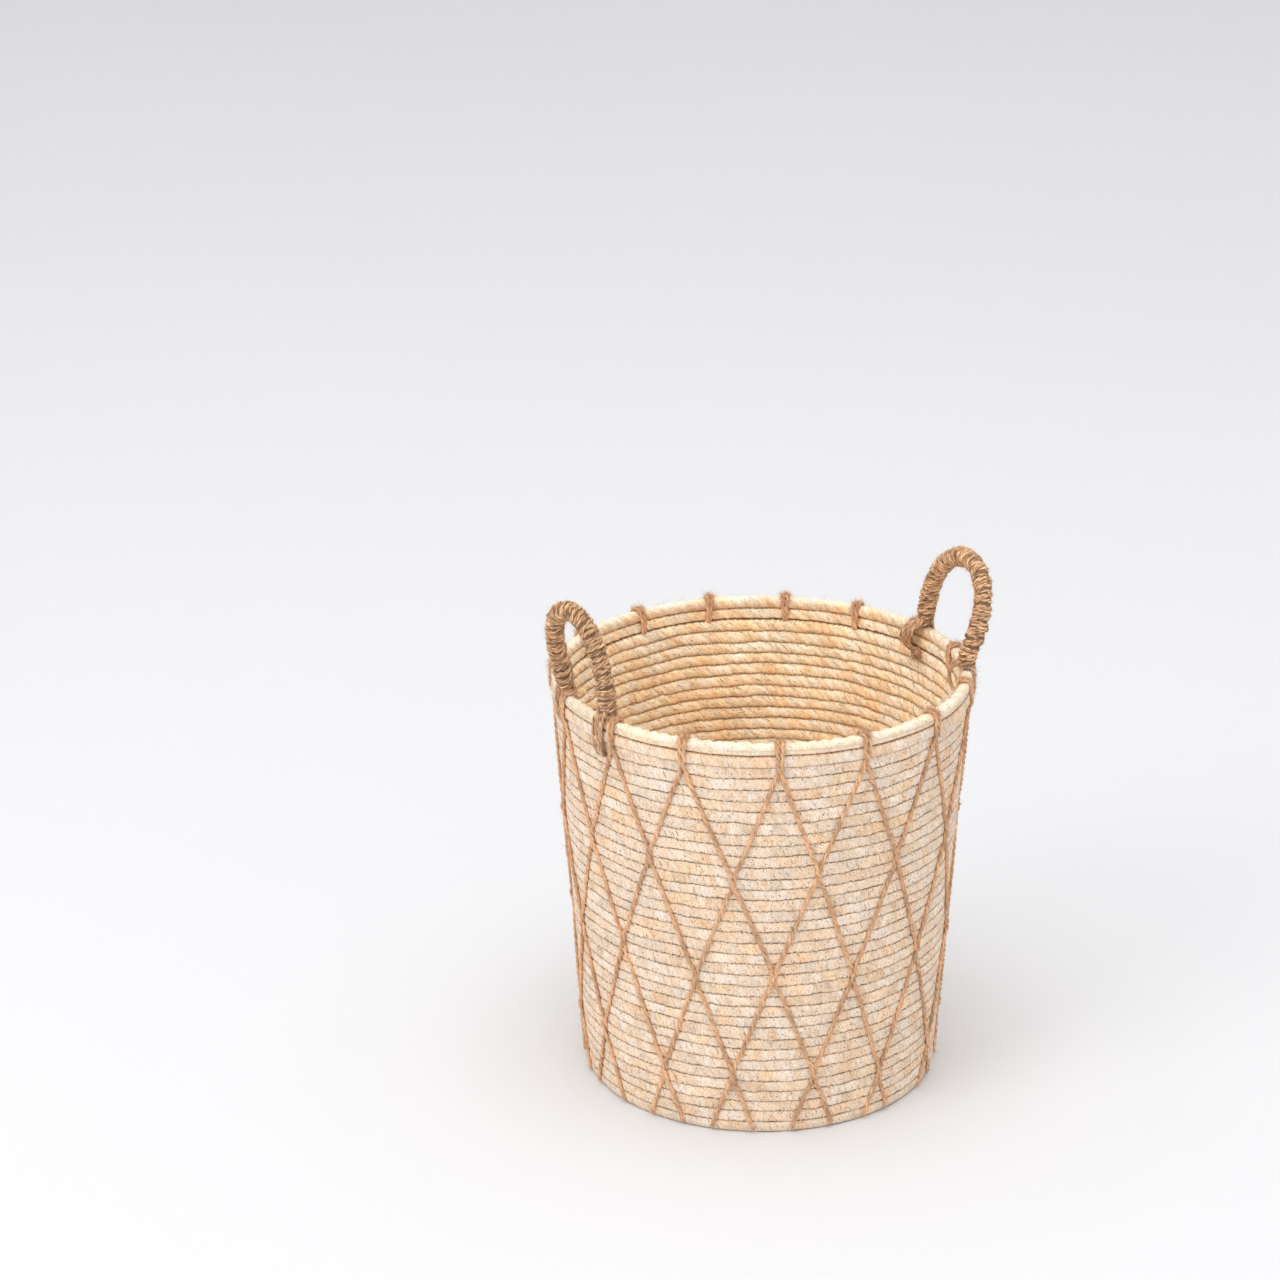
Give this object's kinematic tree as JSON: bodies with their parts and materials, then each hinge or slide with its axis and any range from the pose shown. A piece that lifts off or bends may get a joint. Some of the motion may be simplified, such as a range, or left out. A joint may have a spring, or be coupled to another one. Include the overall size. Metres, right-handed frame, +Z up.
{
  "type": "laundry basket woven",
  "caption": "Round, slightly tapered storage basket of coiled plant-husk rope with a criss-cross twine lattice and rope handles that tip on the rim.",
  "frame": {"origin": "centre of the standing face, on the basket's axis", "axes": "+Z up; +X through the right handle, -X through the left handle, -Y is the front"},
  "size_m": [0.3176, 0.2971, 0.3751],
  "materials": {
    "husk_wall": "matt dried husk, fine fibres",
    "husk_rim": "bleached husk, smooth",
    "husk_base": "matt dried husk",
    "jute_twine": "fuzzy two-ply jute",
    "jute_core": "matt jute fibre",
    "jute_wrap": "tightly wound jute yarn",
    "jute_root": "loose jute strands"
  },
  "bodies": {
    "basket": {"base_coil": "husk_base", "wall_coil": "husk_wall", "rim_coil": "husk_rim", "twine_strand_01": "jute_twine", "twine_strand_02": "jute_twine", "twine_strand_03": "jute_twine", "twine_strand_04": "jute_twine", "twine_strand_05": "jute_twine", "twine_strand_06": "jute_twine", "twine_strand_07": "jute_twine", "twine_strand_08": "jute_twine", "twine_strand_09": "jute_twine", "twine_strand_10": "jute_twine", "twine_strand_11": "jute_twine", "twine_strand_12": "jute_twine", "twine_strand_13": "jute_twine", "twine_strand_14": "jute_twine", "twine_strand_15": "jute_twine", "handle_right_root_a": "jute_root", "handle_right_root_b": "jute_root", "handle_left_root_a": "jute_root", "handle_left_root_b": "jute_root"},
    "handle_right": {"handle_right_core": "jute_core", "handle_right_wrap": "jute_wrap"},
    "handle_left": {"handle_left_core": "jute_core", "handle_left_wrap": "jute_wrap"}
  },
  "joints": [
    {"name": "right_handle_tip", "type": "hinge", "parent": "basket", "child": "handle_right", "pos_m": [0.13493, -0.01752, 0.3083], "axis": [0.1288, 0.9917, 0], "range_deg": [-73, 57]},
    {"name": "left_handle_tip", "type": "hinge", "parent": "basket", "child": "handle_left", "pos_m": [-0.13855, -0.01775, 0.3083], "axis": [0.1271, -0.9919, 0], "range_deg": [-73, 57]}
  ]
}
